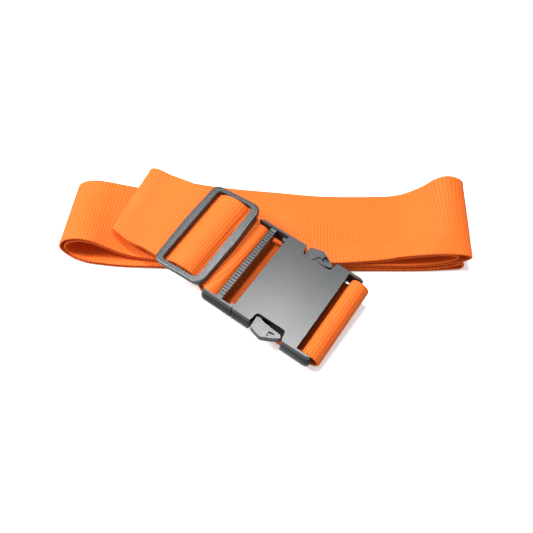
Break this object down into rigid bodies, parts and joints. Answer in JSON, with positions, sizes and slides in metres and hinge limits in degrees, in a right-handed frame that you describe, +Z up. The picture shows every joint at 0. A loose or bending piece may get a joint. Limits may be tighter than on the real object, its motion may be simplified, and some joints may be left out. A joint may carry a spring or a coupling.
{
  "type": "luggage strap",
  "caption": "Adjustable webbing strap folded flat in a zigzag, with a side-release buckle, a slider and sewn ends.",
  "frame": {"origin": "on the surface that the strap rests on, under the middle of the folded strap's near half", "axes": "+X along the folded strap to the right, +Y across it away from the viewer, +Z up from the surface"},
  "size_m": [0.2337, 0.129, 0.0301],
  "materials": {
    "webbing": "woven polyester, matte with a slight sheen, fine ribs across the strap",
    "plastic": "moulded acetal, fine grain, satin",
    "thread": "bonded polyester sewing thread"
  },
  "bodies": {
    "strap": {"webbing_folded_run": "webbing", "webbing_male_loop": "webbing", "webbing_lower_strand": "webbing", "male_frame": "plastic"},
    "female_half": {"female_housing": "plastic", "webbing_female_loop": "webbing", "female_end_seam": "thread"},
    "arm_near": {"spring_arm_near": "plastic"},
    "arm_far": {"spring_arm_far": "plastic"},
    "slider": {"slider_frame": "plastic", "webbing_slider_pass": "webbing", "webbing_sewn_end": "webbing", "slider_end_seam": "thread"}
  },
  "joints": [
    {"name": "buckle_release", "type": "slide", "parent": "strap", "child": "female_half", "axis": [0.8214, -0.5582, -0.117], "range_m": [0, 0.03], "deforming": ["spring_arm_near", "spring_arm_far", "webbing_lower_strand"]},
    {"name": "arm_near_squeeze", "type": "hinge", "parent": "strap", "child": "arm_near", "pos_m": [-0.01027, -0.03621, 0.01332], "axis": [0.038, -0.1512, 0.9878], "range_deg": [0, 20]},
    {"name": "arm_far_squeeze", "type": "hinge", "parent": "strap", "child": "arm_far", "pos_m": [0.0125, -0.00358, 0.01744], "axis": [-0.038, 0.1512, -0.9878], "range_deg": [0, 20]},
    {"name": "slider_adjust", "type": "slide", "parent": "strap", "child": "slider", "axis": [-0.8082, 0.5872, -0.045], "range_m": [0, 0.015], "deforming": ["webbing_slider_pass", "webbing_sewn_end", "webbing_male_loop", "webbing_lower_strand"]}
  ]
}
